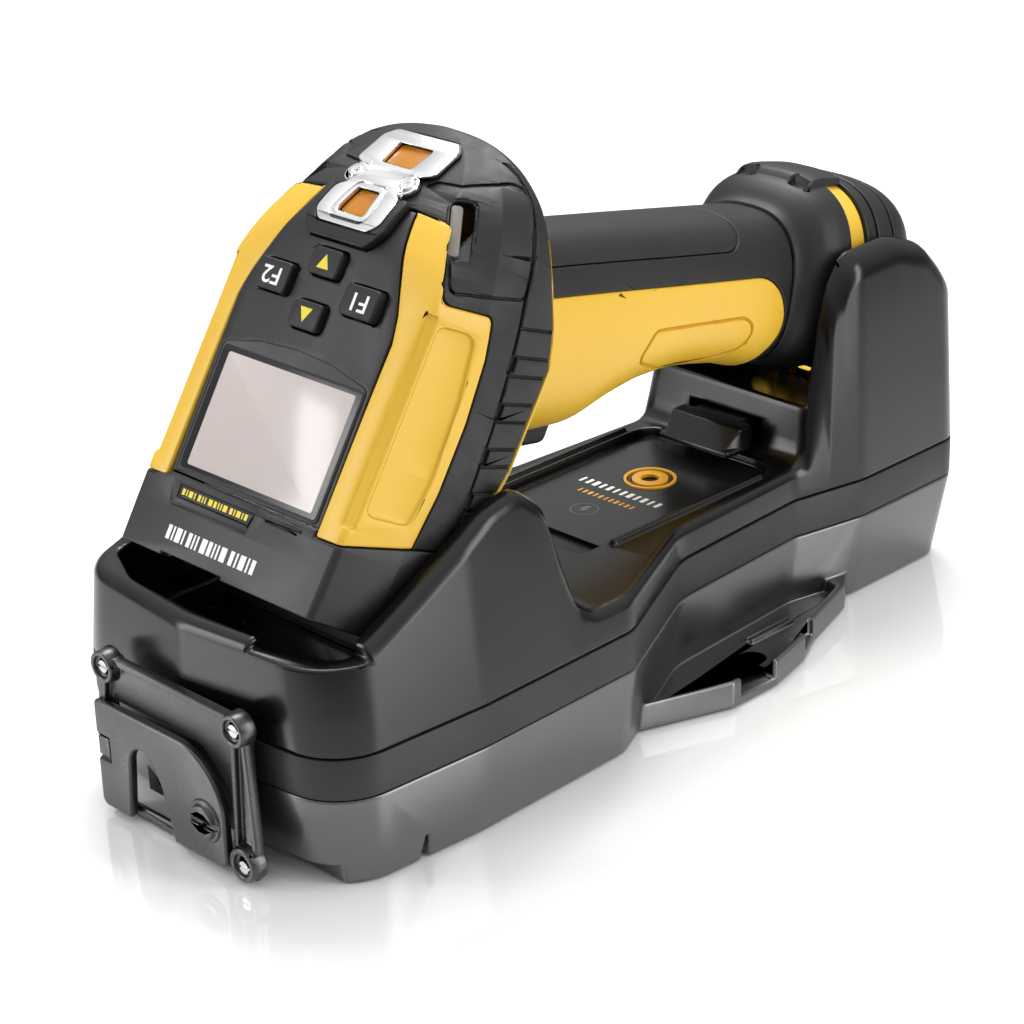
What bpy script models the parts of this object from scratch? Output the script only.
"""Handheld barcode scanner lying in its charging cradle.

Frame: origin under the middle of the cradle, +Z up, the cable end at -Y, +X to the right of
someone who looks along +Y. Every size below is in millimetres; MM turns it into metres when a
shape is made. The scanner's head and grip are drawn in frames of their own:
  head frame: x across, y from the scan window to the rounded end, z out of the display face
  grip frame: x across, y from the head to the battery end, z towards the palm side
"""
import math

import bmesh
import bpy
from mathutils import Matrix, Vector

MM = 0.001
GAP = 0.3                                   # clearance left between touching pieces

# ---- driving dimensions ------------------------------------------------------------------
HEAD_TILT = 57.4                            # display face against the table, degrees
HEAD_ORIGIN = (0.0, -87.4, 90.5)            # middle of the display
GRIP_TILT = -11.2                           # grip slopes down to the battery end, degrees
GRIP_ORIGIN = (0.0, 0.0, 94.0)

BASE_TOP = 22.7                             # lower shell, bottom at 0
BELT_LOW, BELT_HIGH = 23.0, 32.6            # sealing belt between the two shells
SHELL_LOW = 32.9                            # upper shell starts here
DRAFT_TOP = 96.0                            # height at which the drafted outline is given
DECK = 41.0                                 # rim of the low middle part
DECK_PANEL = 38.2                           # sunken floor that carries the label
POCKET_FLOOR = 38.0
POCKET_HALF = 37.9
CRADLE_WALL = 2.6
FRONT, REAR = -115.5, 121.5

HEAD_WALL = 3.2
NOSE_LINE = -16.0                           # head y where the nose bumper meets the covers
SIDE_TOP = 35.0                             # head y where the yellow side panel ends
STRIP_TOP = 55.0                            # head y where the yellow strips end
PANEL_TOP = 44.0                            # head y where the black face panel ends
PANEL_THICK = 1.5

GRIP_WALL = 2.4
SEAM = 7.0                                  # grip z of the seam between palm and finger sides
YELLOW_END = 67.0                           # grip y where the finger side ends
KEY_TRAVEL = 1.0

# ---- scene and small helpers ---------------------------------------------------------------
for old in list(bpy.data.objects):
    bpy.data.objects.remove(old, do_unlink=True)

parts = bpy.data.collections.new("barcode_scanner")
cutters = bpy.data.collections.new("cutters")
bpy.context.scene.collection.children.link(parts)
bpy.context.scene.collection.children.link(cutters)


def empty(name, location, tilt=0.0, parent=None):
    """An empty that carries a frame: a place and a turn about X."""
    frame = bpy.data.objects.new(name, None)
    frame.location = [value * MM for value in location]
    frame.rotation_euler = (math.radians(tilt), 0.0, 0.0)
    frame.parent = parent
    parts.objects.link(frame)
    return frame


scanner_frame = empty("scanner_frame", (0, 0, 0))
head_frame = empty("head_frame", HEAD_ORIGIN, HEAD_TILT, scanner_frame)
grip_frame = empty("grip_frame", GRIP_ORIGIN, GRIP_TILT, scanner_frame)
bpy.context.view_layer.update()


def working(mesh, name="work"):
    """A new working object, kept with the cutters until it becomes a part."""
    shape = bpy.data.objects.new(name, mesh)
    shape.hide_render = True
    shape.display_type = "WIRE"
    cutters.objects.link(shape)
    return shape


def from_bmesh(bm):
    mesh = bpy.data.meshes.new("mesh")
    bm.to_mesh(mesh)
    bm.free()
    return working(mesh)


def box(low, high):
    """A block between two corners."""
    bm = bmesh.new()
    bmesh.ops.create_cube(bm, size=1.0)
    size = [(b - a) * MM for a, b in zip(low, high)]
    centre = [(a + b) / 2 * MM for a, b in zip(low, high)]
    bmesh.ops.scale(bm, vec=size, verts=bm.verts)
    bmesh.ops.translate(bm, vec=centre, verts=bm.verts)
    return from_bmesh(bm)


def rod(start, end, radius, end_radius=None, sides=16):
    """A round bar, or a cone, from one point to another."""
    a, b = Vector(start) * MM, Vector(end) * MM
    bm = bmesh.new()
    bmesh.ops.create_cone(bm, cap_ends=True, segments=sides, radius1=radius * MM,
                          radius2=(end_radius or radius) * MM, depth=(b - a).length)
    turn = (b - a).to_track_quat("Z", "Y").to_matrix().to_4x4()
    bmesh.ops.transform(bm, matrix=Matrix.Translation((a + b) / 2) @ turn, verts=bm.verts)
    return from_bmesh(bm)


PLANES = {  # where a flat outline's two coordinates and its thickness go
    "xy": Matrix(((1, 0, 0), (0, 1, 0), (0, 0, 1))).to_4x4(),
    "xz": Matrix(((1, 0, 0), (0, 0, -1), (0, 1, 0))).to_4x4(),
    "yz": Matrix(((0, 0, 1), (1, 0, 0), (0, 1, 0))).to_4x4(),
}


def prism(outline, low, high, plane="xy"):
    """A flat outline with thickness: a filled 2D curve made a mesh.

    In the xz plane the thickness runs along -Y, so low and high are given as y values there.
    """
    if plane == "xz":
        low, high = -high, -low
    curve = bpy.data.curves.new("outline", "CURVE")
    curve.dimensions = "2D"
    curve.fill_mode = "BOTH"
    curve.extrude = (high - low) / 2 * MM
    spline = curve.splines.new("POLY")
    spline.points.add(len(outline) - 1)
    for point, (a, b) in zip(spline.points, outline):
        point.co = (a * MM, b * MM, 0, 1)
    spline.use_cyclic_u = True
    holder = bpy.data.objects.new("outline", curve)
    cutters.objects.link(holder)
    bpy.context.view_layer.update()
    evaluated = holder.evaluated_get(bpy.context.evaluated_depsgraph_get())
    mesh = bpy.data.meshes.new_from_object(evaluated)
    bpy.data.objects.remove(holder)
    bm = bmesh.new()
    bm.from_mesh(mesh)
    bmesh.ops.remove_doubles(bm, verts=bm.verts, dist=0.00001)
    middle = Matrix.Translation((0, 0, (low + high) / 2 * MM))
    bmesh.ops.transform(bm, matrix=PLANES[plane] @ middle, verts=bm.verts)
    bmesh.ops.recalc_face_normals(bm, faces=bm.faces)
    return from_bmesh(bm)


def loft(rings):
    """A closed solid through rings of the same number of points, with flat ends."""
    bm = bmesh.new()
    loops = [[bm.verts.new(Vector(point) * MM) for point in ring] for ring in rings]
    count = len(rings[0])
    for first, second in zip(loops, loops[1:]):
        for i in range(count):
            j = (i + 1) % count
            bm.faces.new((first[i], first[j], second[j], second[i]))
    bm.faces.new(loops[0])
    bm.faces.new(loops[-1])
    bmesh.ops.triangulate(bm, faces=bm.faces)
    bmesh.ops.recalc_face_normals(bm, faces=bm.faces)
    return from_bmesh(bm)


def rounded(corners, steps=3):
    """Outline from corners (a, b, radius): each corner becomes an arc of steps segments."""
    outline = []
    count = len(corners)
    for i, (a, b, radius) in enumerate(corners):
        here = Vector((a, b))
        back = (Vector(corners[i - 1][:2]) - here).normalized()
        ahead = (Vector(corners[(i + 1) % count][:2]) - here).normalized()
        if radius == 0:
            outline.append((a, b))
            continue
        half = back.angle(ahead) / 2
        reach = radius / math.tan(half)
        centre = here + (back + ahead).normalized() * (radius / math.sin(half))
        start, end = here + back * reach - centre, here + ahead * reach - centre
        turn = start.angle_signed(end)
        for k in range(steps + 1):
            spun = Matrix.Rotation(-turn * k / steps, 2) @ start
            outline.append(tuple(centre + spun))
    return outline


def mirrored(half):
    """A right-hand half outline, from one end to the other, closed with its mirror image."""
    left = [(-a, b) for a, b in reversed(half) if a > 0.001]
    return half + left


def combined(target, tool, operation):
    modifier = target.modifiers.new(operation.lower(), "BOOLEAN")
    modifier.operation = operation
    modifier.solver = "EXACT"
    modifier.object = tool
    bpy.context.view_layer.update()
    evaluated = target.evaluated_get(bpy.context.evaluated_depsgraph_get())
    mesh = bpy.data.meshes.new_from_object(evaluated)
    target.modifiers.clear()
    target.data = mesh
    return target


def cut(target, *tools):
    for tool in tools:
        combined(target, tool, "DIFFERENCE")
    return target


def join(target, *tools):
    for tool in tools:
        combined(target, tool, "UNION")
    return target


def keep(target, *tools):
    for tool in tools:
        combined(target, tool, "INTERSECT")
    return target


def copy(shape, matrix=None):
    """A copy with a mesh of its own, moved by a matrix if one is given."""
    mesh = shape.data.copy()
    if matrix:
        mesh.transform(matrix)
    return working(mesh)


def scaled(shape, centre, factors):
    """A copy scaled about a point."""
    middle = Matrix.Translation(Vector(centre) * MM)
    return copy(shape, middle @ Matrix.Diagonal((*factors, 1)) @ middle.inverted())


def material(name, colour, roughness, metallic=0.0):
    made = bpy.data.materials.new(name)
    made.use_nodes = True
    shader = made.node_tree.nodes["Principled BSDF"]
    rgb = [int(colour[i:i + 2], 16) / 255 for i in (1, 3, 5)]
    linear = [c / 12.92 if c <= 0.04045 else ((c + 0.055) / 1.055) ** 2.4 for c in rgb]
    shader.inputs["Base Color"].default_value = (*linear, 1)
    shader.inputs["Roughness"].default_value = roughness
    shader.inputs["Metallic"].default_value = metallic
    return made


def part(name, shape, colour, roughness, metallic=0.0, frame=None, origin=(0, 0, 0)):
    """Turns a working shape into a named part with its own material, frame and origin."""
    shape.name = name
    shape.data.name = name
    cutters.objects.unlink(shape)
    parts.objects.link(shape)
    shape.hide_render = False
    shape.display_type = "TEXTURED"
    shape.data.materials.clear()
    shape.data.materials.append(material(name, colour, roughness, metallic))
    shape.data.transform(Matrix.Translation(-Vector(origin) * MM))
    shape.location = Vector(origin) * MM
    shape.parent = frame
    return shape


YELLOW, BLACK, RUBBER, STEEL, BOARD = "#E2B535", "#262627", "#2E2E2F", "#C9CCD0", "#1E5B38"

# ---- cradle --------------------------------------------------------------------------------


def cradle_outline(side, rear_side, waist, end):
    """Plan of the cradle: wide round the head, slim at the waist, wider at the grip saddle."""
    right = rounded([
        (side - 2.5, FRONT + end + 4.5, 15), (side, -70, 40), (side - 1, -22, 12),
        (waist + 2.5, 13, 20), (waist, 58, 15), (rear_side, 80, 20), (rear_side, REAR - end, 8),
        (0, REAR - end, 0), (0, FRONT + end, 0)])
    arcs = right[:-2]
    return mirrored([(0.0, FRONT + end)] + arcs + [(0.0, REAR - end)])


def at_height(outline, z):
    return [(x, y, z) for x, y in outline]


def interpolate(knots, at):
    """Straight-line value of a list of (place, value) knots."""
    for (a, left), (b, right) in zip(knots, knots[1:]):
        if at <= b:
            return left + (right - left) * max(0.0, (at - a) / (b - a))
    return knots[-1][1]


belt_outline = cradle_outline(48, 32, 27.5, 0)
foot_outline = cradle_outline(44.5, 29.2, 24.5, 3.5)
high_outline = cradle_outline(40, 30, 25, 2.2)
inner_belt = cradle_outline(48 - CRADLE_WALL, 32 - CRADLE_WALL, 27.5 - CRADLE_WALL, CRADLE_WALL)
inner_foot = cradle_outline(44.5 - CRADLE_WALL, 29.2 - CRADLE_WALL, 24.5 - CRADLE_WALL, 6.1)
inner_high = cradle_outline(40 - CRADLE_WALL, 30 - CRADLE_WALL, 25 - CRADLE_WALL, 4.8)

EAR = [(30, -22), (40, -14), (48, 8), (48, 30), (41, 51), (28, 80), (16, 80), (16, -22)]
EAR_HIGH = 7.0
EAR_SLOT = (38.5, 24.0, 2.9, 8.0)           # x, y, half width, half length


def base_shell():
    shell = loft([at_height(foot_outline, 0), at_height(belt_outline, BASE_TOP)])
    for side in (1, -1):
        outline = [(side * x, y) for x, y in EAR]
        join(shell, prism(outline, 0, EAR_HIGH))
    cut(shell, loft([at_height(inner_foot, CRADLE_WALL), at_height(inner_belt, BASE_TOP + 1)]))
    x, y, half, reach = EAR_SLOT
    for side in (1, -1):
        hole = rounded([(side * x - half, y - reach, 2.8), (side * x + half, y - reach, 2.8),
                        (side * x + half, y + reach, 2.8), (side * x - half, y + reach, 2.8)])
        cut(shell, prism(hole, -1, EAR_HIGH + 1))
        step = sorted((side * 41, side * 60))
        cut(shell, box((step[0], 38, 3.5), (step[1], 60, 12)))
        cut(shell, box((step[0], -20, 4.5), (step[1], 4, 12)))
    for foot_x, foot_y in FEET:
        cut(shell, rod((foot_x, foot_y, -1), (foot_x, foot_y, 1.5), FOOT_RADIUS + GAP))
    for x, y in BASE_SCREWS:
        cut(shell, rod((x, y, -1), (x, y, 4), 2.6, sides=12))
    cut(shell, box((-22, -118, 3), (-1, -100, 19)))
    return part("base_shell", shell, BLACK, 0.34)


FEET = [(-34, -92), (34, -92), (-20, 104), (20, 104)]
FOOT_RADIUS = 6.0
BASE_SCREWS = [(-30, -60), (30, -60), (-19, 40), (19, 40)]


def seal_belt():
    inner = cradle_outline(48 - 3.4, 32 - 3.4, 27.5 - 3.4, 3.4)
    belt = cut(prism(belt_outline, BELT_LOW, BELT_HIGH), prism(inner, BELT_LOW - 1, BELT_HIGH + 1))
    return part("seal_belt", belt, RUBBER, 0.62)


SHELL_SIDE = [                               # y, z of the upper shell seen from the side
    (-130, SHELL_LOW), (-130, 55), (-99, 55), (-84, 62.5), (-62, 74.3), (-55, 75.5), (-49, 74.5),
    (-44.5, 70), (-38, 45), (-34, DECK), (61, DECK), (64, 47), (70, 84), (74, 91), (80, 93),
    (95, 93), (108, 88), (116, 79), (130, 72), (130, SHELL_LOW)]
POCKET_PLAN = [(-POCKET_HALF, -102), (-24, -108.5), (0, -110), (24, -108.5), (POCKET_HALF, -102),
               (POCKET_HALF, -30), (-POCKET_HALF, -30)]
POCKET_SIDE = [(-120, POCKET_FLOOR), (-47, POCKET_FLOOR), (-47, 50), (-41, 57), (-30, 60),
               (-30, 140), (-120, 140)]
SADDLE_HALF = 24.6
SADDLE_SIDE = [(50, 58.5), (66, 55.4), (107, 47.5), (113, 52), (116, 66), (118.5, 76), (120, 88),
               (135, 90), (135, 140), (50, 140)]


def grown(outline, amount):
    """An outline moved outwards by an amount."""
    moved = []
    count = len(outline)
    area = sum(a[0] * b[1] - b[0] * a[1] for a, b in zip(outline, outline[1:] + outline[:1]))
    sign = 1 if area > 0 else -1
    for i in range(count):
        before, here, after = (Vector(outline[j % count]) for j in (i - 1, i, i + 1))
        first = (here - before).normalized()
        second = (after - here).normalized()
        normal = Vector((first.y, -first.x)) + Vector((second.y, -second.x))
        scale = sign * amount * 2 / max(normal.length_squared, 0.6)
        moved.append(tuple(here + normal * scale))
    return moved


def shell_form(low_outline, top_outline, side, low):
    """The cradle's drafted plan, trimmed to its side view."""
    form = loft([at_height(low_outline, low), at_height(top_outline, DRAFT_TOP)])
    return keep(form, prism(side, -60, 60, "yz"))


def pocket_cutter(extra):
    cutter = prism(grown(POCKET_PLAN, extra), POCKET_FLOOR - extra, 150)
    return keep(cutter, prism(grown(POCKET_SIDE, extra), -70, 70, "yz"))


def saddle_cutter(extra):
    half = SADDLE_HALF + extra
    section = rounded([(-half, 40, 0), (half, 40, 0), (half, 150, 0), (-half, 150, 0)])
    cutter = prism(section, 50 - extra, 135, "xz")
    return keep(cutter, prism(grown(SADDLE_SIDE, extra), -70, 70, "yz"))


DECK_HALF, DECK_FRONT, DECK_REAR = 21.0, -4.0, 58.0
LOCK = ((-11.5, 50.5, 42.0), (11.5, 70.0, 48.6))     # block of the lock slide, with its tongue


def top_shell():
    inner_side = [(y, z if z > SHELL_LOW + 4 else SHELL_LOW - 5)
                  for y, z in grown(SHELL_SIDE, -CRADLE_WALL)]
    inside = shell_form(inner_belt, inner_high, inner_side, SHELL_LOW - 1)
    inside = cut(inside, pocket_cutter(CRADLE_WALL), saddle_cutter(CRADLE_WALL))
    panel = (DECK_HALF + 2, DECK_FRONT - 2, DECK_PANEL - 2.4)
    cut(inside, box((-panel[0], panel[1], panel[2]), (panel[0], DECK_REAR + 2, 60)))
    shell = shell_form(belt_outline, high_outline, SHELL_SIDE, SHELL_LOW)
    cut(shell, pocket_cutter(0), saddle_cutter(0), inside)
    cut(shell, box((-DECK_HALF, DECK_FRONT, DECK_PANEL), (DECK_HALF, DECK_REAR, 60)))
    low, high = LOCK
    slot = box([v - GAP for v in low], [v + GAP for v in high])
    cut(shell, slot)
    for x in CONTACT_X:
        cut(shell, rod((x, CONTACT_Y, 40), (x, CONTACT_Y, 60), 1.6, sides=8))
    cut(shell, box((20, -125, 52.6), (34, -100, 60)))
    return part("top_shell", shell, BLACK, 0.3)


CONTACT_X, CONTACT_Y = (-6.0, 0.0, 6.0), 90.0


def cradle_details():
    label = prism(rounded([(-19, -2, 2.5), (19, -2, 2.5), (19, 50, 2.5), (-19, 50, 2.5)]),
                  DECK_PANEL + GAP, DECK_PANEL + 0.9)
    cut(label, rod((0, 36, 30), (0, 36, 50), 6.6, sides=24))
    part("deck_label", label, "#25282B", 0.3)
    ring = cut(rod((0, 36, DECK_PANEL + GAP), (0, 36, DECK_PANEL + 1.3), 6.2, sides=24),
               rod((0, 36, 30), (0, 36, 50), 3.6, sides=24))
    part("status_ring", ring, "#D9901E", 0.3)

    low, high = LOCK
    slide = box(low, high)
    cut(slide, prism([(low[1] - 1, 49), (low[1] - 1, 45.4), (low[1] + 5, 49)], -20, 20, "yz"))
    cut(slide, box((low[0] - 1, 60.5, 40), (-8, 75, 50)), box((8, 60.5, 40), (high[0] + 1, 75, 50)))
    part("lock_slide", slide, BLACK, 0.4)

    for number, (x, y) in enumerate(FEET, 1):
        part(f"rubber_foot_{number}", rod((x, y, 0), (x, y, 1.2), FOOT_RADIUS), RUBBER, 0.8)

    board = box((-20, -40, 17.0), (20, 60, 18.6))
    for x, y in BASE_SCREWS:
        cut(board, rod((x, y, 10), (x, y, 30), 2.0, sides=12))
    part("charge_board", board, BOARD, 0.5)

    block = box((-10, 84, 33.5), (10, 96, 43.5))
    for x in CONTACT_X:
        cut(block, rod((x, CONTACT_Y, 30), (x, CONTACT_Y, 60), 1.3, sides=8))
    part("contact_block", block, "#202022", 0.5)
    strip = box((-8, CONTACT_Y - 2.5, 30.4), (8, CONTACT_Y + 2.5, 33.2))
    for x in CONTACT_X:
        join(strip, rod((x, CONTACT_Y, 31), (x, CONTACT_Y, CONTACT_TOP), 1.0, sides=8))
    part("charge_contacts", strip, "#D4AF37", 0.25, 1.0)

    pad = box((-32, -78, POCKET_FLOOR + GAP), (32, -70, 39.6))
    for side in (1, -1):
        join(pad, box((side * 25 - 6, -77.5, 39), (side * 25 + 6, -70.5, 41.5)))
    part("pocket_pad", pad, RUBBER, 0.8)


CONTACT_TOP = 53.6
BRACKET_BACK, BRACKET_FRONT = -116.2, -119.0
BOSSES = [(-22.5, 37.5), (22.5, 37.5), (22.5, 4.2)]
COVER_FRONT = -120.2
COVER = rounded([(-27, 1.0, 1.5), (17, 1.0, 2), (17, 28, 17), (-27, 28, 1.0)], 5)
ARCH = rounded([(-19, -1, 0), (-5, -1, 0), (-5, 19, 6.5), (-19, 19, 6.5)], 4)
THUMB_SCREW = (10.0, 12.5)


def connector_end():
    """Bracket, cover, screws and socket at the cable end of the cradle."""
    frame = prism([(-27, 0.4), (27, 0.4), (26, 36), (19, 39), (-19, 39), (-27, 36)],
                  BRACKET_FRONT, BRACKET_BACK, "xz")
    cut(frame, prism([(-23, 3.5), (18.5, 3.5), (18.5, 20), (10, 29), (-23, 29)],
                     -130, -100, "xz"))
    for x, z in BOSSES:
        join(frame, rod((x, COVER_FRONT, z), (x, BRACKET_BACK, z), 4.1, sides=16))
    cut(frame, prism(grown(COVER, GAP), -130, -117.6, "xz"))
    for x, z in BOSSES:
        cut(frame, rod((x, -125, z), (x, -110, z), 1.8, sides=12))
    part("cable_bracket", frame, BLACK, 0.38)

    cover = prism(COVER, COVER_FRONT, -117.9, "xz")
    cut(cover, prism(ARCH, -130, -100, "xz"))
    x, z = THUMB_SCREW
    cut(cover, rod((x, -130, z), (x, -100, z), 2.2, sides=12))
    cut(cover, box((-30, -122, 13.5), (-24.5, -119.6, 19)))
    for x, z in BOSSES:
        cut(cover, rod((x, -130, z), (x, -100, z), 4.4, sides=16))
    part("connector_cover", cover, BLACK, 0.42)

    x, z = THUMB_SCREW
    screw = rod((x, COVER_FRONT - GAP, z), (x, -REAR, z), 4.6, 4.2, sides=20)
    join(screw, rod((x, COVER_FRONT - 1, z), (x, -116.4, z), 1.8, sides=10))
    cut(screw, box((x - 6, -125, z - 0.5), (x + 6, -REAR + 0.6, z + 0.5)))
    part("cover_thumb_screw", screw, "#3A3A3D", 0.3, 0.9)

    for number, (x, z) in enumerate(BOSSES, 1):
        head = rod((x, -119.6, z), (x, -116.4, z), 1.5, sides=12)
        cut(head, box((x - 2, -122, z - 0.3), (x + 2, -119.2, z + 0.3)))
        part(f"bracket_screw_{number}", head, STEEL, 0.3, 1.0)

    port = box((-20.5, -111.5, 4), (-2.5, -100, 17.5))
    cut(port, box((-17, -115, 6.5), (-6, -103, 15)))
    part("interface_port", port, "#3C3F44", 0.4)


base_shell()
seal_belt()
top_shell()
cradle_details()
connector_end()

# ---- scanner head ---------------------------------------------------------------------------
# Half sections of the head: at each head y, the (x, z) of the face middle, the ridge of the
# yellow strip, the lower edge of the side panel, the widest line, the back edge of the rubber
# band, the corner of the back and the middle of the back.
HEAD_SECTIONS = [
    (-34.0, (0, 0), (32.2, -1.2), (35.4, -16), (36.0, -24), (35.0, -31), (26, -34), (0, -34.5)),
    (-16.0, (0, 0), (32.5, -1.5), (36.0, -17), (36.6, -26), (36.0, -33), (28, -41), (0, -42)),
    (10.0, (0, 0), (32.5, -2.0), (36.0, -17), (37.0, -28), (36.4, -39), (28, -46), (0, -47)),
    (34.0, (0, 0), (32.5, -3.0), (36.0, -16.5), (37.0, -28), (36.4, -39.5), (28, -46), (0, -47)),
    (42.0, (0, 0), (30.2, -3.6), (35.2, -15.6), (37.0, -26.5), (36.4, -36), (27, -43), (0, -44)),
    (50.0, (0, -1.8), (26.6, -5.2), (33.6, -15), (36.9, -24.2), (36.1, -31.2), (26, -39), (0, -40)),
    (57.0, (0, -5.2), (23.2, -7.6), (31.0, -15), (35.8, -22.2), (34.9, -27.8), (25, -35), (0, -36)),
    (64.0, (0, -9.9), (18.6, -11.6), (27.0, -16), (32.8, -20.8), (31.8, -25), (22, -31), (0, -32)),
    (70.0, (0, -14.0), (13.0, -15.2), (20.6, -17.6), (26.4, -20.2), (25.4, -23.6), (16, -28),
     (0, -29)),
    (74.5, (0, -17.2), (6.5, -17.9), (11.5, -19), (17.0, -20.4), (16.0, -22.6), (9, -25.4),
     (0, -26)),
    (76.5, (0, -19.2), (2.2, -19.4), (4.0, -19.8), (6.2, -20.6), (5.4, -21.8), (3.0, -23), (0, -23.4)),
]
FACE_LINE = [(row[0], row[1][1]) for row in HEAD_SECTIONS]
HEAD_MIDDLE = (0, 20, -21)


def head_solid():
    rings = []
    for y, *half in HEAD_SECTIONS:
        section = mirrored([(float(x), z) for x, z in half])
        rings.append([(x, y, z) for x, z in section])
    return loft(rings)


def head_inside(wall):
    return scaled(head_solid(), HEAD_MIDDLE, (1 - wall / 37, 1 - wall / 55.5, 1 - wall / 21))


def slab(outline, half=60):
    """A region of the head or grip, given in its side view."""
    return prism(outline, -half, half, "yz")


def along_face(start, end, above, below, steps=6):
    """Side-view band that follows the face between two head y values."""
    places = [start + (end - start) * k / steps for k in range(steps + 1)]
    line = [(y, interpolate(FACE_LINE, y)) for y in places]
    return [(y, z + above) for y, z in line] + [(y, z + below) for y, z in reversed(line)]


BAND_BACK = [(80, -20.8), (76.3, -21.5), (70.2, -23.2), (63.8, -24.7), (57.2, -27.3),
             (50.2, -30.6), (42.2, -35.4), (33.8, -38.9), (10.2, -38.5), (NOSE_LINE, -32.4)]
COVER_SIDE = [(NOSE_LINE, 8), (STRIP_TOP, 8), (STRIP_TOP, -7.4), (50, -5.6), (42, -4.0),
              (SIDE_TOP + 0.8, -3.4), (SIDE_TOP, -16.6), (NOSE_LINE, -17.2)]
CENTRE = [(25, NOSE_LINE), (25, 28), (20, 40), (14.6, STRIP_TOP)]
KEYS = {"key_f1": (14.2, 32.2, 10.6, 7.0), "key_f2": (-14.2, 32.2, 10.6, 7.0),
        "key_up": (0.0, 38.2, 9.4, 6.2), "key_down": (0.0, 26.0, 9.4, 6.2)}
DISPLAY = (22.6, -14.2, 14.6)               # half width, low and high end
PLATE = [(9.6, 47.6), (9.6, 54.5), (6.2, 57.2), (6.2, 61.2), (12.0, 64.0), (9.0, 69.6)]
LOWER_LENS = [(4.0, 50.2), (3.6, 56.0)]
UPPER_LENS = [(4.6, 62.4), (5.4, 67.6)]
PLATE_SCREWS = [(8.0, 58.8), (-8.0, 58.8)]
SURROUND_STEP = 0.9


def rectangle(x, y, width, height, radius):
    a, b = width / 2, height / 2
    return rounded([(x - a, y - b, radius), (x + a, y - b, radius),
                    (x + a, y + b, radius), (x - a, y + b, radius)])


def symmetric(half):
    """Plan outline from right-hand points, bottom to top."""
    return [(x, y) for x, y in half] + [(-x, y) for x, y in reversed(half)]


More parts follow.
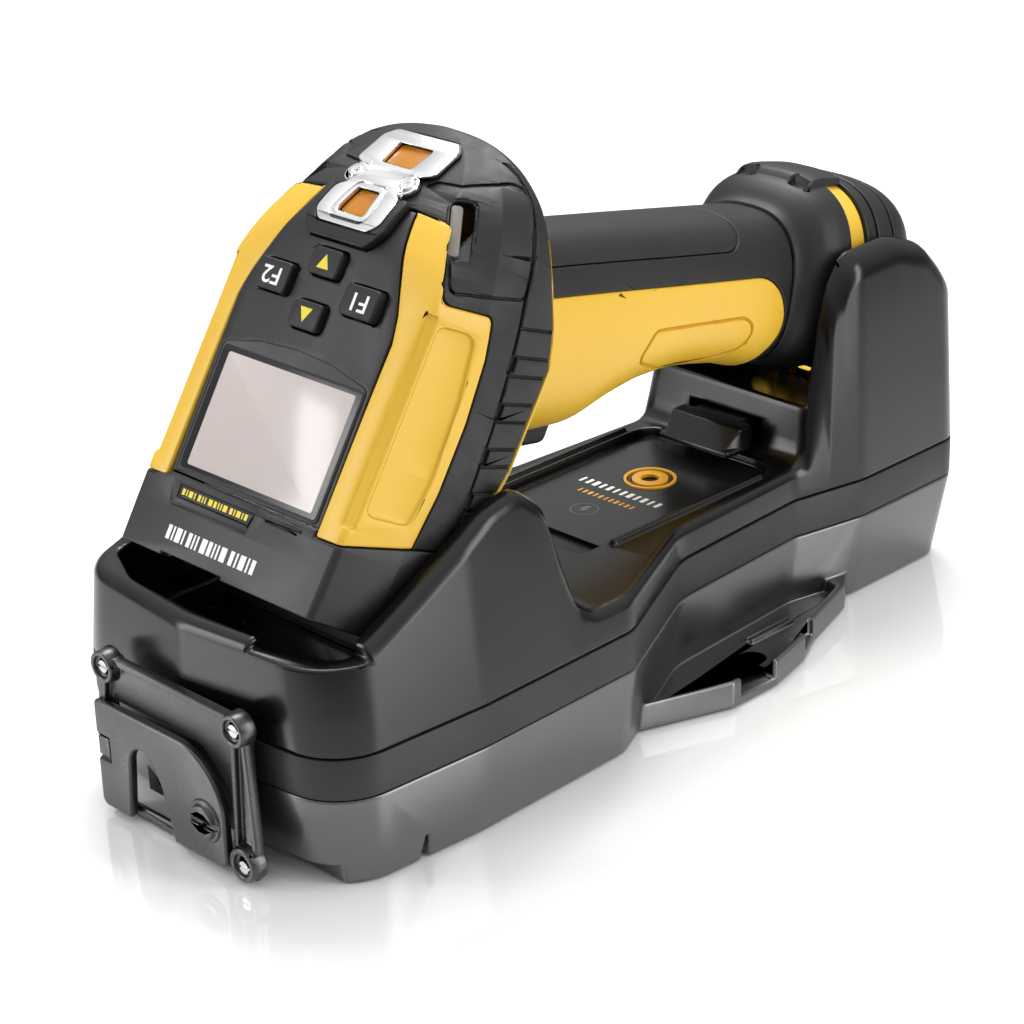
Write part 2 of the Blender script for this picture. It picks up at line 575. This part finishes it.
def head_parts():
    outer = head_solid()
    shell = cut(copy(outer), head_inside(HEAD_WALL))
    front = slab([(-60, 20), (80, 20)] + BAND_BACK + [(-60, -33)])

    centre_hole = prism(grown(symmetric(CENTRE), GAP / 2), -60, 20)
    centre_fill = prism(grown(symmetric(CENTRE), -GAP / 2), -60, 20)
    above_panel = slab([(PANEL_TOP, 30), (PANEL_TOP, -60), (90, -60), (90, 30)])
    centre_upper = keep(prism(grown(symmetric(CENTRE), 0.25), -70, 25), above_panel)
    cover_zone = cut(slab(COVER_SIDE), centre_upper)
    cover = keep(copy(shell), copy(cover_zone))
    panel_zone = keep(copy(centre_hole),
                      slab([(NOSE_LINE - 1, 18), (PANEL_TOP + 0.4, 18),
                            (PANEL_TOP + 0.4, -1.8), (NOSE_LINE - 1, -1.8)]))
    cut(cover, panel_zone)
    window = rectangle(0, 0.2, 2 * DISPLAY[0] - 3, DISPLAY[2] - DISPLAY[1] - 3, 1.0)
    cut(cover, prism(window, -20, 10))
    for x, y, width, height in KEYS.values():
        cut(cover, prism(rectangle(x, y, width + 1.6, height + 1.6, 1.0), -20, 10))
    part("top_cover", cover, YELLOW, 0.45, frame=head_frame)

    panel = keep(copy(centre_fill), slab([(NOSE_LINE + GAP, 0), (PANEL_TOP - GAP, 0),
                                          (PANEL_TOP - GAP, -PANEL_THICK),
                                          (NOSE_LINE + GAP, -PANEL_THICK)]))
    half, low, high = DISPLAY
    cut(panel, prism(rectangle(0, (low + high) / 2, 2 * half, high - low, 1.2), -20, 10))
    for x, y, width, height in KEYS.values():
        cut(panel, prism(rectangle(x, y, width + 0.7, height + 0.7, 1.0), -20, 10))
    part("face_panel", panel, BLACK, 0.55, frame=head_frame)

    lens = prism(rectangle(0, (low + high) / 2, 2 * half - 0.6, high - low - 0.6, 1.0), -1.5, -0.3)
    part("display_lens", lens, "#B9B2B0", 0.12, frame=head_frame)
    screen = box((-half + 3, low + 3, -6.2), (half - 3, high - 3, -3.6))
    part("display_panel", screen, "#8D9288", 0.3, frame=head_frame)
    part("keypad_membrane", box((-20.5, 20.5, -6.4), (20.5, 41, -5.6)), "#4A4A4E", 0.7,
         frame=head_frame)
    for name, (x, y, width, height) in KEYS.items():
        key = prism(rectangle(x, y, width, height, 0.9), -4.4, 1.5)
        part(name, key, BLACK, 0.5, frame=head_frame, origin=(x, y, 0))

    nose_front = NOSE_LINE - GAP
    bumper = keep(copy(shell), front)
    cut(bumper, slab([(-90, 30), (NOSE_LINE, 30), (NOSE_LINE, -60), (-90, -60)]))
    wide_zone = cut(slab(grown(COVER_SIDE, GAP)), keep(copy(centre_fill), copy(above_panel)))
    cut(bumper, wide_zone)
    plate_half = symmetric(PLATE)
    cut(bumper, keep(prism(grown(plate_half, GAP), -40, 20),
                     slab(along_face(46.5, 72, 5, -SURROUND_STEP - GAP))))
    for lens_outline in (LOWER_LENS, UPPER_LENS):
        cut(bumper, prism(grown(symmetric(lens_outline), 0.8), -40, 20))
    screw_tilt = Vector((0, 0.55, 0.835))
    for x, y in PLATE_SCREWS:
        seat = Vector((x, y, interpolate(FACE_LINE, y)))
        cut(bumper, rod(seat - screw_tilt * 9, seat + screw_tilt * 3, 1.3, sides=10))
    for side in (1, -1):
        cut(bumper, light_pipe(side, 0.4, 6))
    part("head_bumper", bumper, RUBBER, 0.7, frame=head_frame)
    for name, side in (("light_pipe_right", 1), ("light_pipe_left", -1)):
        part(name, light_pipe(side, 0.0, 1.4), "#8C867C", 0.35, frame=head_frame)

    plate = keep(prism(plate_half, -40, 20), slab(along_face(47, 71, 0.5, -SURROUND_STEP)))
    for x, y in PLATE_SCREWS:
        seat = Vector((x, y, interpolate(FACE_LINE, y)))
        lug = keep(rod(seat - screw_tilt * 5, seat + screw_tilt * 5, 3.0, sides=14),
                   slab(along_face(50, 68, 0.5, 0.1)))
        join(plate, lug)
        cut(plate, rod(seat - screw_tilt * 9, seat + screw_tilt * 5, 1.3, sides=10))
    for lens_outline in (LOWER_LENS, UPPER_LENS):
        cut(plate, prism(grown(symmetric(lens_outline), GAP), -40, 20))
    part("led_plate", plate, "#E6E7EA", 0.18, 1.0, frame=head_frame)
    for name, lens_outline in (("led_lens_lower", LOWER_LENS), ("led_lens_upper", UPPER_LENS)):
        low_y, high_y = lens_outline[0][1], lens_outline[-1][1]
        lens = keep(prism(symmetric(lens_outline), -40, 20),
                    slab(along_face(low_y - 1, high_y + 1, 0.2, -3.2)))
        part(name, lens, "#B85A00", 0.2, frame=head_frame)
    for number, (x, y) in enumerate(PLATE_SCREWS, 1):
        seat = Vector((x, y, interpolate(FACE_LINE, y)))
        screw = join(rod(seat + screw_tilt * 0.85, seat + screw_tilt * 2.1, 2.2, 1.9, sides=14),
                     rod(seat - screw_tilt * 7, seat + screw_tilt * 1.2, 0.95, sides=8))
        part(f"plate_screw_{number}", screw, STEEL, 0.25, 1.0, frame=head_frame)

    nose = keep(copy(shell), slab([(-60, 30), (nose_front, 30), (nose_front, -60), (-60, -60)]))
    notch = [(-19.5, NOSE_LINE + 1), (-17.5, -22.4), (6.5, -22.4), (9.0, NOSE_LINE + 1)]
    cut(nose, prism(notch, -1.0, 10))
    cut(nose, prism(rectangle(0, -18, 50, 20, 2), -40, -30, "xz"))
    part("nose_bumper", nose, BLACK, 0.6, frame=head_frame)
    window = prism(rectangle(0, -18, 49.4, 19.4, 1.8), -33.4, -31.8, "xz")
    part("scan_window", window, "#3A0D12", 0.08, frame=head_frame)

    back = [(y, z - GAP) for y, z in BAND_BACK]
    rear = keep(copy(shell), slab([(90, -21.2)] + back + [(NOSE_LINE, -70), (90, -70)]))
    to_head = head_frame.matrix_world.inverted() @ grip_frame.matrix_world
    passage = copy(box((-9, -60, -10), (9, -20, 12)), to_head)
    cut(rear, passage)
    part("rear_housing", rear, YELLOW, 0.45, frame=head_frame)

    chassis = box((-21, -28, -31), (21, -6, -9))
    cut(chassis, box((-18, -40, -29), (18, -8.5, -11)))
    part("engine_chassis", chassis, "#9A9DA1", 0.4, 1.0, frame=head_frame)
    part("scan_engine", box((-11, -24, -27), (11, -10, -13)), "#2B2D31", 0.5, frame=head_frame)
    part("engine_lens", rod((0, -27, -20), (0, -24.3, -20), 4.2, sides=16), "#20242A", 0.1,
         frame=head_frame)
    part("main_board", box((-25, -4, -9.6), (25, 45, -8)), BOARD, 0.5, frame=head_frame)
    part("beeper", rod((13, 34, -15), (13, 34, -9.9), 6.0, sides=18), "#1B1B1D", 0.5,
         frame=head_frame)
    part("vibration_motor", rod((-18, 26, -14), (-18, 40, -14), 3.4, sides=14), STEEL, 0.3, 1.0,
         frame=head_frame)
    return outer


def light_pipe(side, extra, deep):
    """The slot-shaped window on each shoulder of the head, square to the sloping shoulder."""
    slot = prism(rectangle(0, 0, 5.0 + 2 * extra, 13.0 + 2 * extra, 2.0), -deep, 3 if extra else -0.5)
    place = Matrix.Translation(Vector((side * 29.8, 52.5, -9.2)) * MM)
    turn = Matrix.Rotation(math.radians(side * 52), 4, "Y")
    return copy(slot, place @ turn)


head_outer = head_parts()

# ---- scanner grip ---------------------------------------------------------------------------
# Sections of the grip: grip y, half width, top and bottom.
GRIP_SECTIONS = [(-46, 19.0, 21, -30), (-34, 18.6, 21, -28.6), (-20, 18.0, 21, -28.2),
                 (-2, 17.6, 21, -27.2), (13, 17.4, 21, -21.6), (24, 17.4, 21, -18.2),
                 (38, 17.4, 21, -16.4), (55, 17.4, 21, -17.2), (63, 17.4, 21, -18.6),
                 (76, 17.2, 20.6, -16.4)]
BOOT_SECTIONS = [(70.3, 18.9, 22.4, -17.9), (73, 20.8, 25.4, -19.0), (76, 22.4, 27.6, -19.8),
                 (80, 23.4, 28.8, -20.3), (84, 23.6, 29.2, -20.4)]
RING_SECTIONS = [(84.3, 22.8, 28.4, -19.8), (90.2, 22.8, 28.4, -19.4)]
CAP_SECTIONS = [(90.5, 23.6, 29.4, -20.2), (98, 23.4, 28.8, -19.2), (106, 22.2, 27.0, -16.8),
                (112, 19.4, 23.6, -12.0), (116, 14.0, 18.4, -5.0), (117.4, 9.0, 14.6, 0.0)]
INNER_END = (20.2, 25.6, -17.0)             # half width, top and bottom inside the boot end
SIDES = 20


def ring(y, half, top, bottom, power=2.7):
    """A superellipse section of the grip."""
    middle, reach = (top + bottom) / 2, (top - bottom) / 2
    points = []
    for k in range(SIDES):
        angle = 2 * math.pi * (k + 0.5) / SIDES
        c, s = math.cos(angle), math.sin(angle)
        x = half * math.copysign(abs(c) ** (2 / power), c)
        z = middle + reach * math.copysign(abs(s) ** (2 / power), s)
        points.append((x, y, z))
    return points


def tube(sections, inset=0.0, stretch=0.0):
    """A loft through grip sections, all moved in by inset and stretched at both ends."""
    rings = [ring(y, half - inset, top - inset, bottom + inset)
             for y, half, top, bottom in sections]
    rings[0] = [(x, y - stretch, z) for x, y, z in rings[0]]
    rings[-1] = [(x, y + stretch, z) for x, y, z in rings[-1]]
    return loft(rings)


YELLOW_ZONE = rounded([(-80, SEAM, 0), (YELLOW_END - 3, SEAM, 13), (YELLOW_END, -40, 0),
                       (-80, -40, 0)], 5)
PAD_ZONE = rounded([(-14, 13.8, 2), (60, 13.8, 6), (60, 40, 0), (-14, 40, 0)], 3)
TRIGGER_PIVOT = (0.0, -30.0, -21.5)
TRIGGER_HALF = 6.6
TRIGGER_SIDE = rounded([(-33.5, -18, 3), (-20, -20, 2), (3, -23.5, 1.5), (4.5, -29.5, 2.5),
                        (-3, -35.5, 3), (-20, -31, 6), (-33.5, -29, 3)], 3)
TRIGGER_WELL = [(-60, -14), (8, -14), (8, -60), (-60, -60)]


def grip_parts():
    to_grip = grip_frame.matrix_world.inverted() @ head_frame.matrix_world
    blocked = copy(scaled(head_outer, HEAD_MIDDLE, (1.015, 1.01, 1.02)), to_grip)
    outer = tube(GRIP_SECTIONS)
    shell = cut(copy(outer), tube(GRIP_SECTIONS, GRIP_WALL, 3), blocked)

    front = keep(copy(shell), slab(YELLOW_ZONE))
    well = prism(TRIGGER_WELL, -TRIGGER_HALF - 0.5, TRIGGER_HALF + 0.5, "yz")
    cut(front, well)
    part("grip_front", front, YELLOW, 0.42, frame=grip_frame)

    pad_cut = cut(slab(grown(PAD_ZONE, GAP)), tube(GRIP_SECTIONS, 1.2, 3))
    back = cut(copy(shell), slab(grown(YELLOW_ZONE, GAP)), pad_cut)
    part("grip_back", back, RUBBER, 0.6, frame=grip_frame)
    pad = cut(keep(copy(outer), slab(PAD_ZONE)), tube(GRIP_SECTIONS, 1.2 - GAP, 3), blocked)
    part("grip_pad", pad, "#242425", 0.75, frame=grip_frame)

    x, y, z = TRIGGER_PIVOT
    trigger = prism(TRIGGER_SIDE, -TRIGGER_HALF, TRIGGER_HALF, "yz")
    cut(trigger, rod((-20, y, z), (20, y, z), 1.5, sides=12))
    part("trigger", trigger, BLACK, 0.5, frame=grip_frame, origin=TRIGGER_PIVOT)
    part("trigger_pin", rod((-TRIGGER_HALF - 3, y, z), (TRIGGER_HALF + 3, y, z), 1.1, sides=12),
         STEEL, 0.3, 1.0, frame=grip_frame)
    part("trigger_switch", box((-3, -8, -13), (3, 1, -9)), "#2A2A2E", 0.5, frame=grip_frame)
    part("trigger_spring", spring((0, -17, -18.0), (0, -17, -9.4), 2.4, 0.35, 5), STEEL, 0.3, 1.0,
         frame=grip_frame)

    inner_boot = join(tube(GRIP_SECTIONS, -GAP, 0.6), tube([(75.8, *INNER_END), (87, *INNER_END)]))
    boot = cut(tube(BOOT_SECTIONS), inner_boot)
    part("handle_boot", boot, RUBBER, 0.62, frame=grip_frame)
    bore = tube([(60, *INNER_END), (130, *INNER_END)])
    part("accent_ring", cut(tube(RING_SECTIONS), bore), YELLOW, 0.4, frame=grip_frame)
    cap = cut(tube(CAP_SECTIONS), tube([(89, *INNER_END), (105, 19.0, 23.6, -13.6),
                                        (112, 14.0, 17.0, -6.0)]))
    part("battery_cap", cap, BLACK, 0.55, frame=grip_frame)

    cell = rod((0, 6, 0.5), (0, 99, 0.5), 9.8, sides=24)
    join(cell, box((-8.5, 10, -11.5), (8.5, 95, 0)))
    part("battery", cell, "#3E4A55", 0.45, frame=grip_frame)
    contacts = box((-8, 1.4, -3), (8, 3.2, 6))
    for x in (-5, 0, 5):
        join(contacts, box((x - 1, 3, -1), (x + 1, 5.7, 4)))
    part("battery_contacts", contacts, "#D4AF37", 0.3, 1.0, frame=grip_frame)


def spring(start, end, radius, wire, turns):
    """A coil spring as a bevelled curve, made a mesh with welded caps."""
    curve = bpy.data.curves.new("spring", "CURVE")
    curve.dimensions = "3D"
    curve.bevel_depth = wire * MM
    curve.bevel_resolution = 1
    curve.use_fill_caps = True
    spline = curve.splines.new("POLY")
    steps = turns * 8
    spline.points.add(steps)
    a, b = Vector(start), Vector(end)
    for k, point in enumerate(spline.points):
        angle = 2 * math.pi * k / 8
        place = a.lerp(b, k / steps) + Vector((math.cos(angle), math.sin(angle), 0)) * radius
        point.co = (*(place * MM), 1)
    holder = bpy.data.objects.new("spring", curve)
    cutters.objects.link(holder)
    bpy.context.view_layer.update()
    evaluated = holder.evaluated_get(bpy.context.evaluated_depsgraph_get())
    mesh = bpy.data.meshes.new_from_object(evaluated)
    bpy.data.objects.remove(holder)
    bm = bmesh.new()
    bm.from_mesh(mesh)
    bmesh.ops.remove_doubles(bm, verts=bm.verts, dist=0.00002)
    bmesh.ops.recalc_face_normals(bm, faces=bm.faces)
    return from_bmesh(bm)


grip_parts()

# The charging pads under the battery cap stand straight above the cradle's contacts.
to_grip = grip_frame.matrix_world.inverted()
pad_y = (to_grip @ (Vector((0, CONTACT_Y, CONTACT_TOP + GAP)) * MM)).y / MM
carrier = box((-9, pad_y - 4, -21.4), (9, pad_y + 4, -20.6))
for x in CONTACT_X:
    join(carrier, box((x - 1.8, pad_y - 3, -21.9), (x + 1.8, pad_y + 3, -21)))
part("charge_pads", carrier, "#D4AF37", 0.25, 1.0, frame=grip_frame)
